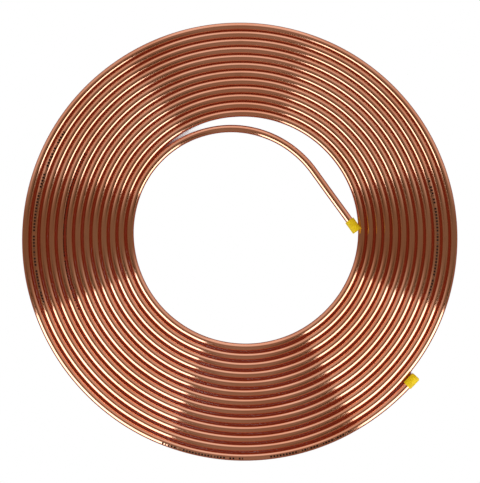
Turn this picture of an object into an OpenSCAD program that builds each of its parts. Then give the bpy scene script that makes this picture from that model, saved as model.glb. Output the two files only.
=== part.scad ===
// Flat coil of soft copper tube with a push-on plastic cap on each end.
// Millimetres, +Z up. The origin is the centre of the outermost turn, at floor level.
//
// Every turn is two half circles about two centres on one line. A half circle
// starts where the last one ends and shares its tangent there, so the tube is
// one smooth spiral whose turns lie closer together on one side than on the other.

/* [Tube] */
// outside diameter of the tube
tube_od = 9.52; // [6:0.01:13]
// wall thickness of the tube
tube_wall = 0.81; // [0.4:0.01:1.5]

/* [Coil] */
// full turns, without the quarter turn at the start and the part turn at the end
turns = 12; // [4:1:16]
// radius of the tube's centreline where the coil begins
first_radius = 144.3; // [120:0.1:220]
// gap between neighbouring turns on the tight side
tight_gap = 0.42; // [0.2:0.02:3]
// gap between neighbouring turns on the loose side
loose_gap = 2.24; // [0.2:0.02:4]
// direction of the tight side, from +X towards +Y
tight_side = 68; // [0:0.5:359.5]

/* [Inner end] */
// how much tighter the free inner end is bent than the coil's first turn
inner_tuck = 16; // [5:0.5:30]

/* [End caps] */
// wall thickness of a cap
cap_wall = 1.5; // [0.8:0.05:2]
// thickness of a cap's closed end
cap_end_wall = 1.5; // [0.8:0.05:3]
// overall length of a cap
cap_length = 17; // [10:0.5:30]
// chamfer round a cap's closed end
cap_chamfer = 0.8; // [0.2:0.1:1]
// gap between the inner end's cap and the turn it rests on
cap_clearance = 0.3; // [0.1:0.05:1]

/* [Hidden] */
$fn = 120;
copper = [0.78, 0.46, 0.33];
yellow = [0.86, 0.74, 0.05];

tube_r = tube_od / 2;
cap_r = tube_r + cap_wall;
cap_depth = cap_length - cap_end_wall;

// Each half circle is larger than the last by half the pitch on the side where the last began.
tight_step = (tube_od + tight_gap) / 2;
loose_step = (tube_od + loose_gap) / 2;
last = 2 * turns + 1;

// radius of half circle k, and the place of its centre along the line of centres
function radius(k) = first_radius + ceil(k / 2) * tight_step + floor(k / 2) * loose_step;
function centre(k) = ceil(k / 2) * tight_step + (turns - floor(k / 2)) * loose_step - turns * tight_step;

// Bends and tilts are whole steps of the angle of a 3-4-5 triangle. The sine and
// cosine of such a step are short decimals, so neighbouring stretches meet exactly.
triangle_angle = acos(3 / 5);
end_tilt = 270 - 5 * triangle_angle;
bend_overlap = 3;

// The inner end's bend lies flat at first and then rises, with the straight stretch after it.
inner_radius = first_radius - inner_tuck;
inner_flat_bend = 180 - 2 * triangle_angle;
inner_rising_bend = 6 * triangle_angle - 270;
inner_bend = inner_flat_bend + inner_rising_bend;
inner_heading = [cos(inner_bend), -sin(inner_bend)];
inner_normal = [sin(inner_bend), cos(inner_bend)];

// The stretch runs until the corner of its cap is level with the innermost turn's inner
// edge, and on until the cap, at the height it has there, rests on that turn's shoulder.
cap_corner = [centre(0) - centre(1), inner_tuck] + (inner_radius + cap_r) * inner_normal;
along = cap_corner * inner_heading;
function run_to(reach) = sqrt(along * along - cap_corner * cap_corner + reach * reach) - along;
function rise_at(run) =
    (inner_radius * (1 - cos(inner_rising_bend)) + run * sin(inner_rising_bend)) * sin(end_tilt);
turn_edge = radius(1) - tube_r;
cap_rise = min(rise_at(run_to(turn_edge)), cap_r + tube_r);
side_by_side = sqrt(pow(cap_r + tube_r + cap_clearance, 2) - cap_rise * cap_rise);
inner_run = run_to(turn_edge + cap_r + tube_r - side_by_side);
inner_straight = round(10 * (inner_run - cap_end_wall)) / 10;

// The last part turn lies flat at first and then rises, until the mouth of the outer
// end's cap stands on the floor.
outer_flat_bend = 6 * triangle_angle - 270;
outer_rising_bend = 180 - 3 * triangle_angle;
outer_drop = cap_wall / sin(end_tilt) - radius(last) * (1 - cos(outer_rising_bend));
outer_straight = max(0, ceil(10 * outer_drop / sin(outer_rising_bend)) / 10);

module tube_section() {
    difference() {
        circle(d = tube_od);
        circle(d = tube_od - 2 * tube_wall);
    }
}

module bent_tube(bend_radius, bend, start) {
    rotate_extrude(angle = bend, start = start) translate([bend_radius, 0]) tube_section();
}

module straight_tube(length) {
    linear_extrude(height = length) tube_section();
}

// a bend from the +Y side round to the right, laid from both of its ends
module right_bend(bend_radius, bend) {
    half = ceil(bend / 2) + bend_overlap;
    bent_tube(bend_radius, half, 90 - half);
    rotate([0, 0, -bend]) bent_tube(bend_radius, half, 90);
}

// a bend from the -X side round to the left, laid from both of its ends
module left_bend(bend_radius, bend) {
    half = ceil(bend / 2) + bend_overlap;
    bent_tube(bend_radius, half, 180);
    rotate([0, 0, bend]) bent_tube(bend_radius, half, 180 - half);
}

// the centre of the inner end's flat bend
module at_inner_bend() {
    translate([centre(0), radius(0) - inner_radius, 0]) children();
}

// the centre of the inner end's rising bend, tilted about the tube where it begins
module at_inner_rise() {
    at_inner_bend() rotate([0, 0, -inner_flat_bend]) translate([0, inner_radius, 0])
        rotate([-end_tilt, 0, 0]) translate([0, -inner_radius, 0]) children();
}

// where the inner end's straight stretch begins, with +Z along the tube
module at_inner_straight() {
    at_inner_rise() rotate([0, 0, -inner_rising_bend]) translate([0, inner_radius, 0])
        rotate([0, 90, 0]) children();
}

// the centre of the last part turn
module at_last_turn() {
    translate([centre(last), 0, 0]) children();
}

// the centre of the last part turn's rising stretch, tilted about the tube where it begins
module at_outer_rise() {
    at_last_turn() rotate([0, 0, outer_flat_bend]) translate([-radius(last), 0, 0])
        rotate([0, -end_tilt, 0]) translate([radius(last), 0, 0]) children();
}

// where the outer end's straight stretch begins, with +Z along the tube
module at_outer_straight() {
    at_outer_rise() rotate([0, 0, outer_rising_bend]) translate([-radius(last), 0, 0])
        rotate([90, 0, 0]) children();
}

// turns the coil to its own direction and stands it on the floor
module on_floor() {
    rotate([0, 0, tight_side]) translate([0, 0, tube_r]) children();
}

// a cup with its mouth at the origin and its closed end at +Z
module end_cap() {
    rotate_extrude() polygon([
        [tube_r, 0],
        [cap_r, 0],
        [cap_r, cap_length - cap_chamfer],
        [cap_r - cap_chamfer, cap_length],
        [0, cap_length],
        [0, cap_depth],
        [tube_r, cap_depth]
    ]);
}

module copper_tube() {
    color(copper) on_floor() {
        at_inner_straight() straight_tube(inner_straight);
        at_inner_rise() right_bend(inner_radius, inner_rising_bend);
        at_inner_bend() right_bend(inner_radius, inner_flat_bend);
        translate([centre(0), 0, 0]) bent_tube(radius(0), 90, 90);
        for (k = [1 : last - 1]) {
            translate([centre(k), 0, 0]) bent_tube(radius(k), 180, 180 * (k % 2));
        }
        at_last_turn() left_bend(radius(last), outer_flat_bend);
        at_outer_rise() left_bend(radius(last), outer_rising_bend);
        at_outer_straight() straight_tube(outer_straight + cap_depth);
    }
}

module inner_end_cap() {
    color(yellow) on_floor() at_inner_straight()
        translate([0, 0, inner_straight - cap_depth]) end_cap();
}

module outer_end_cap() {
    color(yellow) on_floor() at_outer_straight()
        translate([0, 0, outer_straight]) end_cap();
}

copper_tube();
inner_end_cap();
outer_end_cap();
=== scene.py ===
"""Flat coil of soft copper tube with a yellow push-on cap on each end.

Metres, +Z up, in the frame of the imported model. The tube is drawn straight and
then wound along its spiral, and each cap is turned and pushed on to its end.
"""

import logging
import math
from dataclasses import dataclass, field
from enum import Enum

import bmesh
import bpy
from mathutils import Matrix, Vector


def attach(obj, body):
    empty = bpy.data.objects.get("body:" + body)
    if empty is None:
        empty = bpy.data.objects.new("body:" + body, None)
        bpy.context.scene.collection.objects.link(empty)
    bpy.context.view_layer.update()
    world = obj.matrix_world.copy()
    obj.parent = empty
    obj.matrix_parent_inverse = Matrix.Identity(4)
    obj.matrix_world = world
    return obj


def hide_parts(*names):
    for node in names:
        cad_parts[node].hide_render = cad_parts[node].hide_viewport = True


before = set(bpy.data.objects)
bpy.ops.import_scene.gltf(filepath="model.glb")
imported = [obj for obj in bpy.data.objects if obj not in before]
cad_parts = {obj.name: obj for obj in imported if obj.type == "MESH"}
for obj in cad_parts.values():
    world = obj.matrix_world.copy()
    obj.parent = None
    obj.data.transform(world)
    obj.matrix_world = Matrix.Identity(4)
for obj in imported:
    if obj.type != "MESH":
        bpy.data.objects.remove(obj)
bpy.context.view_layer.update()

MM = 0.001
UP = Vector((0.0, 0.0, 1.0))
Colour = tuple[float, float, float, float]
Span = tuple[float, float]
log = logging.getLogger("copper_coil")


class Slot(Enum):
    """Material slots of the record."""

    COPPER = "copper"
    CAP = "cap_plastic"


def move(x: float, y: float, z: float = 0.0) -> Matrix:
    """A shift by x, y and z."""
    return Matrix.Translation((x, y, z))


def turn(angle: float, axis: str = "Z") -> Matrix:
    """A turn by an angle in radians about an axis."""
    return Matrix.Rotation(angle, 4, axis)


# ---------------------------------------------------------------- the tube's path


@dataclass(frozen=True)
class Stretch:
    """One arc or straight length of the tube's centreline.

    The centreline starts at ``start`` in ``place``, bends by ``bend`` about the
    place's Z axis, and runs on by ``run`` where it is straight.
    """

    place: Matrix
    start: Vector
    bend: float = 0.0
    run: Vector = Vector((0.0, 0.0, 0.0))

    @property
    def length(self) -> float:
        """Length along the centreline."""
        return abs(self.bend) * self.start.length if self.bend else self.run.length

    def at(self, share: float) -> Vector:
        """The point a share of the way along.

        Args:
            share: from 0 at the start to 1 at the end.

        Returns:
            The point in the coil's own frame.
        """
        return self.place @ (turn(self.bend * share) @ self.start + self.run * share)


@dataclass(frozen=True)
class Station:
    """A place on the tube: its centre and the directions of its section."""

    centre: Vector
    along: Vector
    outward: Vector
    up: Vector

    def place(self) -> Matrix:
        """A matrix whose X is outward, Y is up and Z runs along the tube."""
        turned = Matrix((self.outward, self.up, self.along)).transposed().to_4x4()
        return Matrix.Translation(self.centre) @ turned


@dataclass(frozen=True)
class HandWinding:
    """How far a coil that was wound and unpacked by hand strays from true circles."""

    oval: float = 1.1 * MM
    oval_axis: float = math.radians(140)
    oval_first: float = 0.35
    ripple: float = 0.08 * MM
    # rate and shift, in radians, of each wave of the ripple
    ripples: tuple[tuple[float, float], ...] = ((5.0, 0.4), (8.3, 2.1), (13.7, 4.0))
    slid_first: Vector = Vector((-1.1, -1.1, 0.0)) * MM
    slid_last: Vector = Vector((0.5, -0.7, 0.0)) * MM
    # the last stretch springs outwards, from a direction counted on over the turns
    spring: float = 1.2 * MM
    spring_from: float = math.radians(4620)
    spring_over: float = math.radians(22)

    def stray(self, angle: float, share: float) -> Vector:
        """How far the tube lies from its true spiral.

        Args:
            angle: direction from the coil's centre, counted on over the turns.
            share: from 0 at the coil's first turn to 1 at its last.

        Returns:
            The shift from the true place.
        """
        outward = Vector((math.cos(angle), math.sin(angle), 0.0))
        oval = self.oval * (self.oval_first + (1 - self.oval_first) * share)
        wave = sum(math.sin(rate * angle + shift) for rate, shift in self.ripples)
        sprung = max(0.0, (angle - self.spring_from) / self.spring_over)
        out = (
            oval * math.cos(2 * (angle - self.oval_axis))
            + self.ripple * wave / len(self.ripples)
            + self.spring * sprung**2
        )
        return outward * out + self.slid_first.lerp(self.slid_last, share)


@dataclass(frozen=True)
class CoilPath:
    """The tube's centreline from the inner end to the outer end."""

    tube_radius: float = 4.76 * MM
    turns: int = 12
    first_radius: float = 144.3 * MM
    tight_gap: float = 0.42 * MM
    loose_gap: float = 2.24 * MM
    tight_side: float = math.radians(68)
    inner_tuck: float = 16 * MM
    inner_straight: float = 93.3 * MM
    outer_straight: float = 3.0 * MM
    cap_depth: float = 15.5 * MM
    triangle_angle: float = math.acos(3 / 5)

    @property
    def last(self) -> int:
        """Number of the last part turn."""
        return 2 * self.turns + 1

    @property
    def end_tilt(self) -> float:
        """Tilt of the plane in which each end rises."""
        return math.radians(270) - 5 * self.triangle_angle

    @property
    def long_bend(self) -> float:
        """Bend of the inner end's rise and of the last turn's flat part."""
        return 6 * self.triangle_angle - math.radians(270)

    def steps(self) -> tuple[float, float]:
        """Growth of the radius over a half turn.

        Returns:
            The growth on the tight side and on the loose side.
        """
        across = 2 * self.tube_radius
        return (across + self.tight_gap) / 2, (across + self.loose_gap) / 2

    def radius(self, k: int) -> float:
        """Radius of a half circle.

        Args:
            k: the half circle's number.

        Returns:
            The radius of its centreline.
        """
        tight, loose = self.steps()
        return self.first_radius + math.ceil(k / 2) * tight + math.floor(k / 2) * loose

    def middle(self, k: int) -> float:
        """Place of a half circle's centre.

        Args:
            k: the half circle's number.

        Returns:
            The place along the line of centres.
        """
        tight, loose = self.steps()
        return (math.ceil(k / 2) - self.turns) * tight + (
            self.turns - math.floor(k / 2)
        ) * loose

    def inner_end(self) -> list[Stretch]:
        """The free inner end.

        Returns:
            Its stretches, from its tip to the coil's start.
        """
        bent = self.first_radius - self.inner_tuck
        flat = math.pi - 2 * self.triangle_angle
        rising = self.long_bend
        top = Vector((0.0, bent, 0.0))
        bend = move(self.middle(0), self.radius(0) - bent)
        tilt = move(0, bent) @ turn(-self.end_tilt, "X") @ move(0, -bent)
        rise = bend @ turn(-flat) @ tilt
        straight = rise @ turn(-rising) @ move(0, bent)
        tip = Vector((self.inner_straight, 0.0, 0.0))
        return [
            Stretch(straight, tip, run=-tip),
            Stretch(rise @ turn(-rising), top, rising),
            Stretch(bend @ turn(-flat), top, flat),
        ]

    def wound(self) -> list[Stretch]:
        """The wound part of the coil.

        Returns:
            The quarter turn that begins it and its half circles.
        """
        found = [
            Stretch(
                move(self.middle(0), 0),
                Vector((0.0, self.first_radius, 0.0)),
                math.pi / 2,
            )
        ]
        for k in range(1, self.last):
            side = 1 if k % 2 == 0 else -1
            start = Vector((side * self.radius(k), 0.0, 0.0))
            found.append(Stretch(move(self.middle(k), 0), start, math.pi))
        return found

    def outer_end(self) -> list[Stretch]:
        """The last part turn and the outer end.

        Returns:
            Their stretches, out to the tip.
        """
        bent = self.radius(self.last)
        rising = math.pi - 3 * self.triangle_angle
        side = Vector((-bent, 0.0, 0.0))
        bend = move(self.middle(self.last), 0)
        rise = (
            bend
            @ turn(self.long_bend)
            @ move(-bent, 0)
            @ turn(-self.end_tilt, "Y")
            @ move(bent, 0)
        )
        tip = Vector((0.0, -(self.outer_straight + self.cap_depth), 0.0))
        return [
            Stretch(bend, side, self.long_bend),
            Stretch(rise, side, rising),
            Stretch(rise @ turn(rising) @ move(-bent, 0), Vector(), run=tip),
        ]

    def points(self, count: int) -> list[Vector]:
        """Evenly spaced points on the centreline.

        Args:
            count: number of equal steps along the tube.

        Returns:
            count + 1 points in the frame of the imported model.
        """
        stretches = self.inner_end() + self.wound() + self.outer_end()
        total = sum(s.length for s in stretches)
        on_floor = turn(self.tight_side) @ move(0, 0, self.tube_radius)
        found, index, behind = [], 0, 0.0
        for step in range(count + 1):
            reach = total * step / count
            last = len(stretches) - 1
            while index < last and reach > behind + stretches[index].length:
                behind += stretches[index].length
                index += 1
            share = min(1.0, (reach - behind) / stretches[index].length)
            found.append(on_floor @ stretches[index].at(share))
        return found

    def length(self) -> float:
        """Length of the tube along its centreline."""
        return sum(s.length for s in self.inner_end() + self.wound() + self.outer_end())


# ---------------------------------------------------------------- finishes


@dataclass
class NodeBench:
    """Short calls for building the node tree of a material or the world."""

    material: bpy.types.ID

    @property
    def tree(self) -> bpy.types.NodeTree:
        """The node tree."""
        return self.material.node_tree

    def add(self, kind: str, **settings: object) -> bpy.types.Node:
        """Adds a node.

        Args:
            kind: the node's type name.
            settings: attributes of the node to set.

        Returns:
            The new node.
        """
        node = self.tree.nodes.new(kind)
        for name, value in settings.items():
            setattr(node, name, value)
        return node

    def feed(self, socket: bpy.types.NodeSocket, value: object) -> None:
        """Gives a socket its value.

        Args:
            socket: the socket to set.
            value: another socket to link to it, or a plain value.
        """
        if isinstance(value, bpy.types.NodeSocket):
            self.tree.links.new(value, socket)
        else:
            socket.default_value = value

    def maths(self, operation: str, *values: object) -> bpy.types.NodeSocket:
        """Adds a Math node.

        Args:
            operation: what the node works out.
            values: its inputs, as sockets or numbers.

        Returns:
            The result.
        """
        node = self.add("ShaderNodeMath", operation=operation)
        for socket, value in zip(node.inputs, values):
            self.feed(socket, value)
        return node.outputs[0]

    def both(self, first: object, second: object) -> bpy.types.NodeSocket:
        """The product of two shares."""
        return self.maths("MULTIPLY", first, second)

    def noise(self, vector: object, scale: float, detail: float) -> bpy.types.NodeSocket:
        """Adds a noise texture.

        Args:
            vector: the place at which it is read.
            scale: how many features there are to a metre.
            detail: how many finer layers are added.

        Returns:
            The noise, from 0 to 1.
        """
        node = self.add("ShaderNodeTexNoise")
        self.feed(node.inputs["Vector"], vector)
        node.inputs["Scale"].default_value = scale
        node.inputs["Detail"].default_value = detail
        return node.outputs[0]

    def ease(
        self,
        value: object,
        low: float,
        high: float,
        out: tuple[float, float] = (0, 1),
    ) -> bpy.types.NodeSocket:
        """Eases a value from one range into another.

        Args:
            value: the value.
            low: where the change begins.
            high: where it ends, which may lie below low.
            out: the results at the two.

        Returns:
            The eased value.
        """
        node = self.add("ShaderNodeMapRange", interpolation_type="SMOOTHSTEP")
        for name, number in zip(
            ("Value", "From Min", "From Max", "To Min", "To Max"),
            (value, low, high, *out),
        ):
            self.feed(node.inputs[name], number)
        return node.outputs[0]

    def blend(self, share: object, first: object, second: object) -> bpy.types.NodeSocket:
        """Mixes two colours.

        Args:
            share: from 0 for the first to 1 for the second.
            first: the first colour.
            second: the second colour.

        Returns:
            The mixed colour.
        """
        node = self.add("ShaderNodeMix", data_type="RGBA")
        self.feed(node.inputs[0], share)
        self.feed(node.inputs[6], first)
        self.feed(node.inputs[7], second)
        return node.outputs[2]


def new_material(name: str) -> tuple[NodeBench, bpy.types.Node]:
    """Makes a material.

    Args:
        name: its name.

    Returns:
        Its node bench and its shader node.
    """
    material = bpy.data.materials.new(name)
    material.use_nodes = True
    shader = material.node_tree.nodes["Principled BSDF"]
    return NodeBench(material), shader


@dataclass(frozen=True)
class DrawnCopper:
    """Bright soft copper, drawn and annealed, with a printed line of plain dashes."""

    bright: Colour = (0.84, 0.48, 0.34, 1)
    warm: Colour = (0.78, 0.40, 0.26, 1)
    tarnish: Colour = (0.50, 0.26, 0.16, 1)
    ink: Colour = (0.02, 0.01, 0.01, 1)
    roughness: tuple[float, float] = (0.09, 0.14)
    cloud_scale: float = 9.0
    cloud_edge: Span = (0.38, 0.66)
    stain_scale: float = 46.0
    stain_edge: Span = (0.60, 0.80)
    stain_strength: float = 0.25
    stain_dulling: float = 0.04
    draw_lines: float = 34.0
    draw_stretch: float = 2.2
    draw_edge: Span = (0.35, 0.70)
    draw_depth: float = 0.01 * MM
    draw_strength: float = 0.03
    ink_dulling: float = 0.4
    ink_wear_scale: float = 110.0
    ink_wear_edge: Span = (0.38, 0.43)
    dash_end: Span = (0.62, 0.56)
    dash_pitch: float = 4.0 * MM
    dash_half: float = 0.052
    prints: tuple[tuple[float, float, float], ...] = ()

    def material(self) -> bpy.types.Material:
        """Makes the finish.

        Returns:
            The material.
        """
        bench, shader = new_material("drawn_copper")
        uv = bench.add("ShaderNodeUVMap", uv_map="UVMap")
        split = bench.add("ShaderNodeSeparateXYZ")
        bench.feed(split.inputs[0], uv.outputs[0])
        along, around = split.outputs[0], split.outputs[1]
        lengthwise = self.lengthwise(bench, along, around)
        place = bench.add("ShaderNodeTexCoord").outputs["Object"]
        cloud = bench.ease(bench.noise(place, self.cloud_scale, 4.0), *self.cloud_edge)
        stain = bench.ease(bench.noise(place, self.stain_scale, 5.0), *self.stain_edge)
        draw = bench.noise(lengthwise, 1.0, 2.0)
        colour = bench.blend(cloud, self.bright, self.warm)
        stain_share = bench.maths("MULTIPLY", stain, self.stain_strength)
        colour = bench.blend(stain_share, colour, self.tarnish)
        ink = self.dashes(bench, along, around)
        colour = bench.blend(ink, colour, self.ink)
        bench.feed(shader.inputs["Base Color"], colour)
        shader.inputs["Metallic"].default_value = 1.0
        satin = bench.ease(draw, *self.draw_edge, self.roughness)
        dull = bench.maths("MULTIPLY_ADD", stain, self.stain_dulling, satin)
        inked = bench.maths("MULTIPLY_ADD", ink, self.ink_dulling, dull)
        bench.feed(shader.inputs["Roughness"], inked)
        bump = bench.add("ShaderNodeBump")
        bump.inputs["Strength"].default_value = self.draw_strength
        bump.inputs["Distance"].default_value = self.draw_depth
        bench.feed(bump.inputs["Height"], draw)
        bench.feed(shader.inputs["Normal"], bump.outputs[0])
        return bench.material

    def lengthwise(
        self, bench: NodeBench, along: object, around: object
    ) -> bpy.types.NodeSocket:
        """Finds coordinates that draw long fine lines and meet round the tube.

        Args:
            bench: the material's bench.
            along: length along the tube.
            around: share of the way round it.

        Returns:
            The coordinates.
        """
        angle = bench.maths("MULTIPLY", around, 2 * math.pi)
        spread = self.draw_lines / 4
        places = (
            bench.maths("MULTIPLY", along, self.draw_stretch),
            bench.maths("MULTIPLY", bench.maths("SINE", angle), spread),
            bench.maths("MULTIPLY", bench.maths("COSINE", angle), spread),
        )
        join = bench.add("ShaderNodeCombineXYZ")
        for socket, place in zip(join.inputs, places):
            bench.feed(socket, place)
        return join.outputs[0]

    def dashes(
        self, bench: NodeBench, along: object, around: object
    ) -> bpy.types.NodeSocket:
        """Prints plain dashes on a narrow band, in a few stretches.

        Args:
            bench: the material's bench.
            along: length along the tube.
            around: share of the way round it.

        Returns:
            The share of ink.
        """
        beat = bench.maths("FRACT", bench.maths("DIVIDE", along, self.dash_pitch))
        dash = bench.ease(beat, *self.dash_end)
        flat = bench.add("ShaderNodeCombineXYZ")
        bench.feed(flat.inputs[0], along)
        wear = bench.noise(flat.outputs[0], self.ink_wear_scale, 1.0)
        worn = bench.ease(wear, *self.ink_wear_edge)
        here = 0.0
        for start, end, middle in self.prints:
            off = bench.maths("ABSOLUTE", bench.maths("SUBTRACT", around, middle))
            band = bench.ease(off, self.dash_half, 0.75 * self.dash_half)
            after = bench.maths("GREATER_THAN", along, start)
            before = bench.maths("LESS_THAN", along, end)
            inside = bench.both(bench.both(after, before), band)
            here = bench.maths("MAXIMUM", here, inside)
        return bench.both(here, bench.both(dash, worn))


@dataclass(frozen=True)
class MouldedPlastic:
    """Soft yellow polyethylene, moulded, with a satin skin."""

    colour: Colour = (0.62, 0.46, 0.001, 1)
    shade: Colour = (0.55, 0.39, 0.001, 1)
    roughness: tuple[float, float] = (0.45, 0.55)
    cloud_scale: float = 160.0
    cloud_edge: Span = (0.40, 0.70)
    grain_scale: float = 1800.0
    grain_edge: Span = (0.3, 0.7)
    grain_depth: float = 0.03 * MM
    grain_strength: float = 0.08
    ior: float = 1.51
    specular: float = 0.22

    def material(self) -> bpy.types.Material:
        """Makes the finish.

        Returns:
            The material.
        """
        bench, shader = new_material("moulded_yellow")
        place = bench.add("ShaderNodeTexCoord").outputs["Object"]
        cloud = bench.ease(bench.noise(place, self.cloud_scale, 3.0), *self.cloud_edge)
        grain = bench.noise(place, self.grain_scale, 2.0)
        colour = bench.blend(cloud, self.colour, self.shade)
        bench.feed(shader.inputs["Base Color"], colour)
        satin = bench.ease(grain, *self.grain_edge, self.roughness)
        bench.feed(shader.inputs["Roughness"], satin)
        shader.inputs["IOR"].default_value = self.ior
        shader.inputs["Specular IOR Level"].default_value = self.specular
        bump = bench.add("ShaderNodeBump")
        bump.inputs["Strength"].default_value = self.grain_strength
        bump.inputs["Distance"].default_value = self.grain_depth
        bench.feed(bump.inputs["Height"], grain)
        bench.feed(shader.inputs["Normal"], bump.outputs[0])
        return bench.material


# ---------------------------------------------------------------- the pieces


def finished(
    name: str,
    bm: bmesh.types.BMesh,
    material: bpy.types.Material,
    node: str,
) -> bpy.types.Object:
    """Turns a built mesh into a piece that stands for a CAD node.

    Args:
        name: the piece's name.
        bm: its mesh, in place, which is freed.
        material: its finish.
        node: the CAD node that it stands for.

    Returns:
        The piece's object.
    """
    mesh = bpy.data.meshes.new(name)
    bm.to_mesh(mesh)
    bm.free()
    mesh.materials.append(material)
    piece = bpy.data.objects.new(name, mesh)
    bpy.context.scene.collection.objects.link(piece)
    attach(piece, "root")
    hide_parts(node)
    log.info("%s: %d faces", name, len(mesh.polygons))
    return piece


@dataclass
class CopperTube:
    """The whole length of tube, wound."""

    path: CoilPath = CoilPath()
    winding: HandWinding = HandWinding()
    rings: int = 4000
    sides: int = 24
    wall: float = 0.81 * MM
    bore_rings: int = 3
    merge: float = 0.01 * MM
    # Directions in degrees, counted on over the turns, between which the printed line
    # shows, and its place round the tube: 0 is outward, 0.25 is up and 0.5 is inward.
    printed: tuple[tuple[float, float, float], ...] = (
        (4568, 4590, 0.19),
        (4597, 4620, 0.21),
        (4108, 4157, 0.24),
        (3030, 3082, 0.41),
        (3582, 3618, 0.24),
    )
    stations: list[Station] = field(default_factory=list)
    angles: list[float] = field(default_factory=list)

    def lay(self) -> None:
        """Finds the tube's stations, with the strays of hand winding on them."""
        true_points = self.path.points(self.rings)
        self.angles = self.counted_angles(true_points)
        last = 2 * math.pi * (self.path.turns + 1)
        points = []
        for point, angle in zip(true_points, self.angles):
            share = min(1.0, max(0.0, angle / last))
            points.append(point + self.winding.stray(angle, share))
        for index, point in enumerate(points):
            ahead = points[min(index + 1, self.rings)]
            back = points[max(index - 1, 0)]
            along = (ahead - back).normalized()
            outward = along.cross(UP).normalized()
            self.stations.append(Station(point, along, outward, outward.cross(along)))

    @staticmethod
    def counted_angles(points: list[Vector]) -> list[float]:
        """Finds directions from the coil's centre, counted on over the turns.

        Args:
            points: places along the tube.

        Returns:
            The direction of each place, in radians.
        """
        found = [math.atan2(points[0].y, points[0].x)]
        for point in points[1:]:
            change = math.atan2(point.y, point.x) - found[-1]
            found.append(found[-1] + math.remainder(change, 2 * math.pi))
        return found

    def reach(self, degrees: float) -> float:
        """Finds where the tube passes a direction.

        Args:
            degrees: the direction, counted on over the turns.

        Returns:
            The length along the tube.
        """
        wanted = math.radians(degrees)
        step = next(i for i, angle in enumerate(self.angles) if angle >= wanted)
        return self.path.length() * step / self.rings

    def build(self) -> bpy.types.Object:
        """Draws the tube straight and winds it.

        Returns:
            The tube's object.
        """
        length, radius = self.path.length(), self.path.tube_radius
        bm = bmesh.new()
        uv = bm.loops.layers.uv.new("UVMap")
        bmesh.ops.create_grid(
            bm, x_segments=self.rings, y_segments=self.sides, size=0.5, calc_uvs=True
        )
        for vert in bm.verts:
            around = 2 * math.pi * (vert.co.y + 0.5)
            vert.co = (
                (vert.co.x + 0.5) * length,
                radius * math.cos(around),
                radius * math.sin(around),
            )
        for face in bm.faces:
            for loop in face.loops:
                loop[uv].uv.x *= length
        bmesh.ops.remove_doubles(bm, verts=bm.verts, dist=self.merge)
        self.open_ends(bm)
        bmesh.ops.recalc_face_normals(bm, faces=bm.faces)
        for vert in bm.verts:
            station = self.stations[round(vert.co.x / length * self.rings)]
            across = station.outward * vert.co.y + station.up * vert.co.z
            vert.co = station.centre + across
        for face in bm.faces:
            face.smooth = True
        prints = tuple((self.reach(a), self.reach(b), c) for a, b, c in self.printed)
        copper = DrawnCopper(prints=prints).material()
        return finished("wound_copper_tube", bm, copper, "copper_tube")

    def open_ends(self, bm: bmesh.types.BMesh) -> None:
        """Closes each end round a short bore with the tube's wall.

        Args:
            bm: the straight tube, open at both ends.
        """
        step = self.path.length() / self.rings
        depth = step * self.bore_rings
        rims = [edge for edge in bm.edges if edge.is_boundary]
        for edge in rims:
            edge.smooth = False
        ends = bmesh.ops.holes_fill(bm, edges=rims, sides=0)["faces"]
        bmesh.ops.inset_individual(bm, faces=ends, thickness=self.wall)
        for end in ends:
            inward = depth if end.calc_center_median().x < step else -depth
            bore = bmesh.ops.extrude_discrete_faces(bm, faces=[end])["faces"]
            bmesh.ops.translate(bm, vec=(inward, 0, 0), verts=bore[0].verts)


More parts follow.
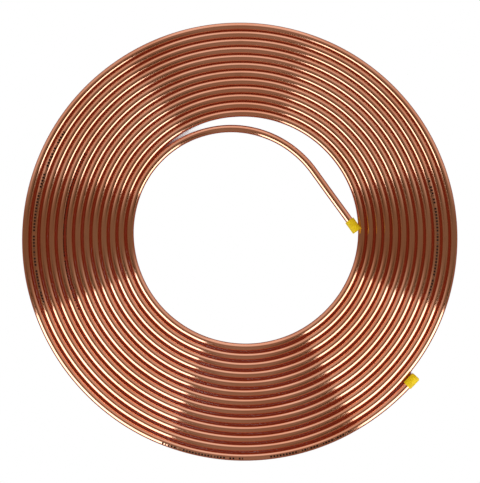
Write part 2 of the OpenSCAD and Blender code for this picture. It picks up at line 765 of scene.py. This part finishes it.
@dataclass
class EndCap:
    """A push-on cap, turned about the tube's end."""

    name: str
    node: str
    mouth: Matrix
    tube_radius: float = 4.76 * MM
    wall: float = 1.5 * MM
    end_wall: float = 1.5 * MM
    length: float = 17 * MM
    crown: float = 0.8 * MM
    rim: float = 0.25 * MM
    gate_radius: float = 1.1 * MM
    gate_depth: float = 0.25 * MM
    sides: int = 64
    crown_segments: int = 6
    rim_segments: int = 3
    mouth_segments: int = 2
    merge: float = 0.001 * MM

    def build(self, plastic: bpy.types.Material) -> bpy.types.Object:
        """Turns the cap and pushes it on.

        Args:
            plastic: the cap's finish.

        Returns:
            The cap's object.
        """
        outer, depth = self.tube_radius + self.wall, self.length - self.end_wall
        outline = (
            (0, depth),
            (self.tube_radius, depth),
            (self.tube_radius, 0),
            (outer, 0),
            (outer, self.length),
            (self.gate_radius, self.length),
            (self.gate_radius, self.length - self.gate_depth),
            (0, self.length - self.gate_depth),
        )
        bm = bmesh.new()
        verts = [bm.verts.new((r, 0, z)) for r, z in outline]
        edges = [bm.edges.new(pair) for pair in zip(verts, verts[1:])]
        bmesh.ops.spin(
            bm,
            geom=verts + edges,
            cent=(0, 0, 0),
            axis=(0, 0, 1),
            angle=2 * math.pi,
            steps=self.sides,
            use_merge=True,
        )
        bmesh.ops.remove_doubles(bm, verts=bm.verts, dist=self.merge)
        bmesh.ops.recalc_face_normals(bm, faces=bm.faces)
        gate, gate_rim = self.gate_radius, 0.4 * self.gate_depth
        self.round_edges(bm, outer, self.length, self.crown, self.crown_segments)
        self.round_edges(bm, outer, 0, self.rim, self.rim_segments)
        self.round_edges(bm, self.tube_radius, 0, self.rim, self.mouth_segments)
        self.round_edges(bm, gate, self.length, gate_rim, self.mouth_segments)
        bmesh.ops.transform(bm, matrix=self.mouth, verts=bm.verts)
        for face in bm.faces:
            face.smooth = True
        return finished(self.name, bm, plastic, self.node)

    @staticmethod
    def round_edges(
        bm: bmesh.types.BMesh,
        radius: float,
        height: float,
        size: float,
        segments: int,
    ) -> None:
        """Rounds a ring of edges.

        Args:
            bm: the cap, upright on its mouth.
            radius: the ring's radius.
            height: its height.
            size: how far the rounding reaches.
            segments: how many faces it has across.
        """
        near = 0.01 * MM
        ring = [
            edge
            for edge in bm.edges
            if all(
                abs(v.co.z - height) < near and abs(v.co.xy.length - radius) < near
                for v in edge.verts
            )
        ]
        bmesh.ops.bevel(
            bm,
            geom=ring,
            offset=size,
            affect="EDGES",
            segments=segments,
            profile=0.5,
            material=-1,
        )


# ---------------------------------------------------------------- the studio


@dataclass(frozen=True)
class Softbox:
    """A flat light that faces the coil."""

    name: str
    azimuth: float
    distance: float
    low: float
    high: float
    width: float
    power: float
    colour: tuple[float, float, float] = (1.0, 1.0, 0.97)
    mirrored: bool = True

    def hang(self) -> None:
        """Hangs the light, facing the coil's centre."""
        light = bpy.data.lights.new(self.name, "AREA")
        light.shape = "RECTANGLE"
        light.size, light.size_y = self.width, self.high - self.low
        light.energy = self.power
        light.color = self.colour
        lamp = bpy.data.objects.new(self.name, light)
        angle = math.radians(self.azimuth)
        lamp.location = (
            self.distance * math.cos(angle),
            self.distance * math.sin(angle),
            (self.low + self.high) / 2,
        )
        away = Vector((lamp.location.x, lamp.location.y, 0.0))
        if away.length > 0:
            lamp.rotation_euler = away.to_track_quat("Z", "Y").to_euler()
        lamp.visible_glossy = self.mirrored
        bpy.context.scene.collection.objects.link(lamp)


@dataclass(frozen=True)
class Surroundings:
    """Dim warm surroundings, which the copper mirrors.

    Each span is where an area's edge begins and ends, for a direction of length 1.
    A foot, top or rise is its height, facing is how squarely it looks to the far
    side, and aside and ahead are how far it leans off upright, across and along.
    """

    below: Colour = (0.22, 0.034, 0.013, 1)
    brink: Colour = (0.34, 0.20, 0.14, 1)
    brink_rise: Span = (-0.62, -0.18)
    room: Colour = (0.22, 0.15, 0.10, 1)
    room_foot: Span = (-0.05, 0.05)
    wall: Colour = (0.72, 0.56, 0.49, 1)
    wall_foot: Span = (-0.50, -0.20)
    wall_top: Span = (0.95, 0.78)
    wall_facing: Span = (0.10, 0.40)
    nook: Colour = (0.07, 0.04, 0.02, 1)
    nook_foot: Span = (0.55, 0.75)
    nook_top: Span = (0.99, 0.93)
    nook_facing: Span = (0.0, -0.3)
    strip: Colour = (0.31, 0.22, 0.17, 1)
    strip_aside: Span = (0.24, 0.08)
    strip_ahead: Span = (0.04, 0.12)
    panel: Colour = (0.97, 0.80, 0.74, 1)
    panel_aside: Span = (0.35, 0.27)
    least_level: float = 0.001

    def set_up(self) -> None:
        """Sets the world, one area of colour over another."""
        world = bpy.data.worlds.new("studio_room")
        world.use_nodes = True
        bench = NodeBench(world)
        split = bench.add("ShaderNodeSeparateXYZ")
        direction = bench.add("ShaderNodeTexCoord").outputs["Generated"]
        bench.feed(split.inputs[0], direction)
        x, y, z = split.outputs
        squares = bench.maths("MULTIPLY_ADD", x, x, bench.maths("MULTIPLY", y, y))
        level = bench.maths("MAXIMUM", bench.maths("SQRT", squares), self.least_level)
        facing = bench.maths("DIVIDE", y, level)
        aside, ahead = bench.maths("ABSOLUTE", x), bench.maths("ABSOLUTE", y)

        room = bench.ease(z, *self.room_foot)
        wall_height = bench.both(
            bench.ease(z, *self.wall_top), bench.ease(z, *self.wall_foot)
        )
        wall = bench.both(bench.ease(facing, *self.wall_facing), wall_height)
        nook_height = bench.both(
            bench.ease(z, *self.nook_foot), bench.ease(z, *self.nook_top)
        )
        nook = bench.both(bench.ease(facing, *self.nook_facing), nook_height)
        strip = bench.both(
            bench.ease(aside, *self.strip_aside), bench.ease(ahead, *self.strip_ahead)
        )
        panel = bench.both(bench.ease(aside, *self.panel_aside), wall)

        colour = bench.blend(bench.ease(z, *self.brink_rise), self.below, self.brink)
        for share, area in (
            (room, self.room),
            (wall, self.wall),
            (nook, self.nook),
            (bench.both(strip, room), self.strip),
            (panel, self.panel),
        ):
            colour = bench.blend(share, colour, area)
        bench.feed(world.node_tree.nodes["Background"].inputs[0], colour)
        bpy.context.scene.world = world


@dataclass(frozen=True)
class Studio:
    """Pale floor, soft lights and a camera straight above."""

    floor_half: float = 6.0
    camera_height: float = 2.4
    view_width: float = 0.6158
    view_middle: tuple[float, float] = (-1.14 * MM, -0.66 * MM)
    tube_radius: float = 4.76 * MM
    pale: Colour = (1, 1, 1, 1)
    # colour of the floor's painted shadow between and beside the turns
    shadow: Colour = (0.14, 0.016, 0.006, 1)
    shadow_reach: float = 8 * MM
    shadow_edge: Span = (0.35, 0.45)
    shadow_samples: int = 16
    softboxes: tuple[Softbox, ...] = (
        Softbox("left_softbox", 225, 0.62, 0.05, 0.78, 0.58, 4.1),
        Softbox("right_softbox", 321, 0.62, 0.05, 0.78, 0.44, 3.1),
        Softbox("overhead_fill", 0, 0.0, 1.4, 3.0, 1.6, 16, (1, 1, 1), False),
    )

    def set_up(self) -> None:
        """Lays the floor, hangs the backdrop and sets the lights and the camera."""
        self.lay_floor()
        self.hang_backdrop()
        for softbox in self.softboxes:
            softbox.hang()
        Surroundings().set_up()
        self.set_camera()
        bpy.context.scene.view_settings.view_transform = "Standard"

    def lay_floor(self) -> None:
        """Lays the pale glowing floor, with a painted shadow, dark red, where the tube
        shuts out the light.
        """
        bm = bmesh.new()
        bmesh.ops.create_grid(bm, x_segments=1, y_segments=1, size=self.floor_half)
        bench, shader = self.glowing("pale_floor")
        # painted shadow: ambient occlusion turns the floor's glow dark red where the tube
        # closes round it
        closed = bench.add("ShaderNodeAmbientOcclusion", samples=self.shadow_samples)
        closed.inputs["Distance"].default_value = self.shadow_reach
        open_share = bench.ease(closed.outputs["AO"], *self.shadow_edge)
        glow = bench.blend(open_share, self.shadow, self.pale)
        bench.feed(shader.inputs["Emission Color"], glow)
        self.staged("floor", bm, bench.material)

    def hang_backdrop(self) -> None:
        """Hangs a pale dome round the studio, seen only by the camera."""
        bm = bmesh.new()
        bmesh.ops.create_icosphere(bm, subdivisions=4, radius=self.floor_half)
        bench, shader = self.glowing("pale_backdrop")
        shader.inputs["Emission Color"].default_value = self.pale
        dome = self.staged("backdrop", bm, bench.material)
        dome.visible_diffuse = False
        dome.visible_shadow = False

    @staticmethod
    def glowing(name: str) -> tuple[NodeBench, bpy.types.Node]:
        """Makes a finish that only glows.

        Args:
            name: its name.

        Returns:
            Its node bench and its shader node.
        """
        bench, shader = new_material(name)
        shader.inputs["Base Color"].default_value = (0, 0, 0, 1)
        shader.inputs["Specular IOR Level"].default_value = 0.0
        shader.inputs["Emission Strength"].default_value = 1.0
        return bench, shader

    @staticmethod
    def staged(
        name: str, bm: bmesh.types.BMesh, material: bpy.types.Material
    ) -> bpy.types.Object:
        """Puts a built mesh on the stage, where the copper doesn't mirror it.

        Args:
            name: its name.
            bm: its mesh, which is freed.
            material: its finish.

        Returns:
            The object.
        """
        mesh = bpy.data.meshes.new(name)
        bm.to_mesh(mesh)
        bm.free()
        mesh.materials.append(material)
        thing = bpy.data.objects.new(name, mesh)
        bpy.context.scene.collection.objects.link(thing)
        thing.visible_glossy = False
        thing.visible_transmission = False
        return thing

    def set_camera(self) -> None:
        """Sets the camera, looking straight down."""
        data = bpy.data.cameras.new("overhead_camera")
        reach = self.camera_height - self.tube_radius
        data.lens = data.sensor_width * reach / self.view_width
        camera = bpy.data.objects.new("overhead_camera", data)
        camera.location = (*self.view_middle, self.camera_height)
        bpy.context.scene.collection.objects.link(camera)
        bpy.context.scene.camera = camera


def main() -> None:
    """Builds the studio, the tube and its two caps."""
    logging.basicConfig(level=logging.INFO, format="%(name)s %(message)s")
    Studio().set_up()
    tube = CopperTube()
    tube.lay()
    tube.build()
    plastic = MouldedPlastic().material()
    path = tube.path
    back = turn(math.pi, "X")
    inner, outer = tube.stations[0].place(), tube.stations[-1].place()
    depth = move(0, 0, -path.cap_depth)
    EndCap("inner_push_on_cap", "inner_end_cap", inner @ back @ depth).build(plastic)
    outer_cap = EndCap("outer_push_on_cap", "outer_end_cap", outer @ depth, crown=2.2 * MM)
    outer_cap.build(plastic)


if __name__ == "__main__":
    main()
